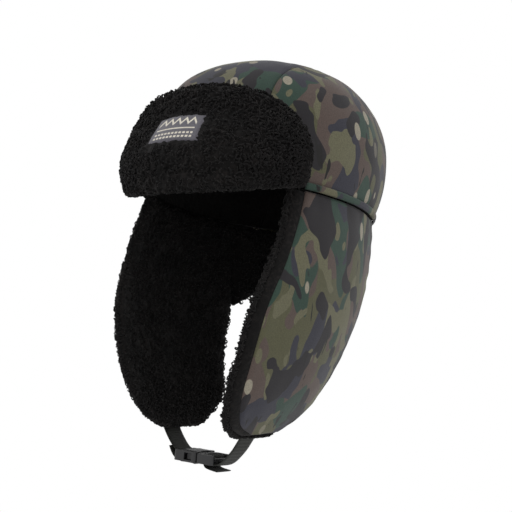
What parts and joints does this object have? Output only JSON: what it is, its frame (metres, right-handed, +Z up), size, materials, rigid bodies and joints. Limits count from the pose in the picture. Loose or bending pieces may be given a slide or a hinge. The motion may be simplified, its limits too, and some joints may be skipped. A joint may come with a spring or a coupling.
{
  "type": "trapper hat",
  "caption": "Soft winter hat with a padded crown, turned-up front flap, hinged ear flaps and a chin strap with a side-release buckle.",
  "frame": {"origin": "centre of the head opening at the level of the band", "axes": "+Z up out of the head, -Y towards the face, +X towards the wearer's left; the band is tipped back 10 degrees"},
  "size_m": [0.1956, 0.2452, 0.3219],
  "materials": {
    "camo_cloth": "smooth brushed cloth, slight sheen",
    "fleece": "curly high pile",
    "interlining": "non-woven stiffener",
    "label_cloth": "woven label",
    "webbing": "ribbed webbing",
    "buckle_plastic": "fine moulded texture"
  },
  "bodies": {
    "crown": {"crown_panel_centre": "camo_cloth", "crown_panel_left": "camo_cloth", "crown_panel_right": "camo_cloth", "crown_lining_centre": "fleece", "crown_lining_left": "fleece", "crown_lining_right": "fleece", "band_roll": "camo_cloth", "nape_shell": "camo_cloth", "nape_lining": "fleece"},
    "front_flap": {"front_flap_backing": "camo_cloth", "front_flap_interlining": "interlining", "front_flap_pile": "fleece", "woven_label": "label_cloth"},
    "ear_flap_left": {"ear_flap_left_shell": "camo_cloth", "ear_flap_left_lining": "fleece"},
    "ear_flap_right": {"ear_flap_right_shell": "camo_cloth", "ear_flap_right_lining": "fleece"},
    "strap_socket_side": {"strap_right": "webbing", "buckle_socket": "buckle_plastic"},
    "strap_plug_side": {"strap_left": "webbing", "buckle_plug": "buckle_plastic"},
    "prong_front": {"buckle_prong_front": "buckle_plastic"},
    "prong_rear": {"buckle_prong_rear": "buckle_plastic"}
  },
  "joints": [
    {"name": "front_flap_fold", "type": "hinge", "parent": "crown", "child": "front_flap", "pos_m": [0, -0.1052, 0.0023], "axis": [1, 0, 0], "range_deg": [0, 110]},
    {"name": "ear_flap_left_fold", "type": "hinge", "parent": "crown", "child": "ear_flap_left", "pos_m": [0.0915, -0.00049, -0.00276], "axis": [0, -0.9848, 0.1736], "range_deg": [0, 160]},
    {"name": "ear_flap_right_fold", "type": "hinge", "parent": "crown", "child": "ear_flap_right", "pos_m": [-0.0915, -0.00049, -0.00276], "axis": [0, 0.9848, -0.1736], "range_deg": [0, 160]},
    {"name": "strap_right_swing", "type": "hinge", "parent": "ear_flap_right", "child": "strap_socket_side", "pos_m": [-0.036, -0.07159, -0.17564], "axis": [0, 0.9848, -0.1736], "range_deg": [0, 85]},
    {"name": "buckle_release", "type": "slide", "parent": "ear_flap_left", "child": "strap_plug_side", "axis": [1, 0, 0], "range_m": [0, 0.022]},
    {"name": "prong_front_press", "type": "hinge", "parent": "strap_plug_side", "child": "prong_front", "pos_m": [0, -0.08358, -0.19241], "axis": [0, -0.1736, -0.9848], "range_deg": [0, 8], "stiffness_Nm_per_rad": 0.02},
    {"name": "prong_rear_press", "type": "hinge", "parent": "strap_plug_side", "child": "prong_rear", "pos_m": [0, -0.06605, -0.1955], "axis": [0, 0.1736, 0.9848], "range_deg": [0, 8], "stiffness_Nm_per_rad": 0.02}
  ],
  "couplings": [
    {"joint": "prong_rear_press", "follows": "prong_front_press", "ratio": 1}
  ]
}
